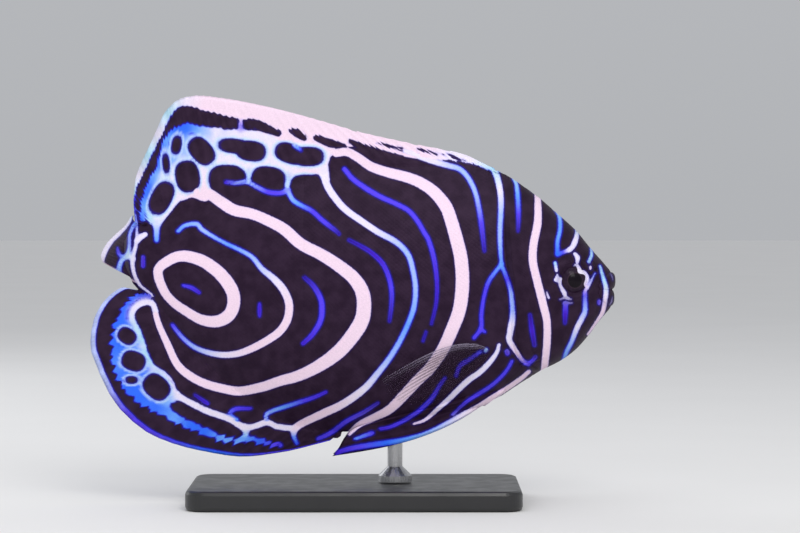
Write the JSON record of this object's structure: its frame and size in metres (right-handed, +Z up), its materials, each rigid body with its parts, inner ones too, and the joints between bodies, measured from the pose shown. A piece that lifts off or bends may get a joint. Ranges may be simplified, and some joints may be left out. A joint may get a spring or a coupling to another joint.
{
  "type": "emperor angelfish model on display stand",
  "caption": "Life-size still model of a young emperor angelfish with ringed markings, swimming level with its tail turned aside, on a flat base with a slim rod.",
  "frame": {"origin": "middle of the underside of the display base, on the fish's median plane", "axes": "+X towards the fish's snout, +Y to its left, +Z up towards its back"},
  "size_m": [0.1051, 0.038, 0.0815],
  "materials": {
    "skin": "moist scaled skin, satin gloss, painted with white and blue rings",
    "fin_skin": "scaled fin membrane over fine rays, satin gloss",
    "clear_fin": "thin translucent membrane over fine rays",
    "eye": "wet, mirror-smooth",
    "base_paint": "satin black paint on steel plate",
    "rod_steel": "fine brushed steel"
  },
  "bodies": {
    "root": {"head": "skin", "trunk": "skin", "tail_stalk": "skin", "dorsal_fin": "fin_skin", "anal_fin": "fin_skin", "caudal_fin": "clear_fin", "pectoral_fin_right": "clear_fin", "pectoral_fin_left": "clear_fin", "pelvic_fin_right": "fin_skin", "pelvic_fin_left": "fin_skin", "eye_right": "eye", "eye_left": "eye", "stand_base": "base_paint", "stand_rod": "rod_steel"}
  },
  "joints": []
}
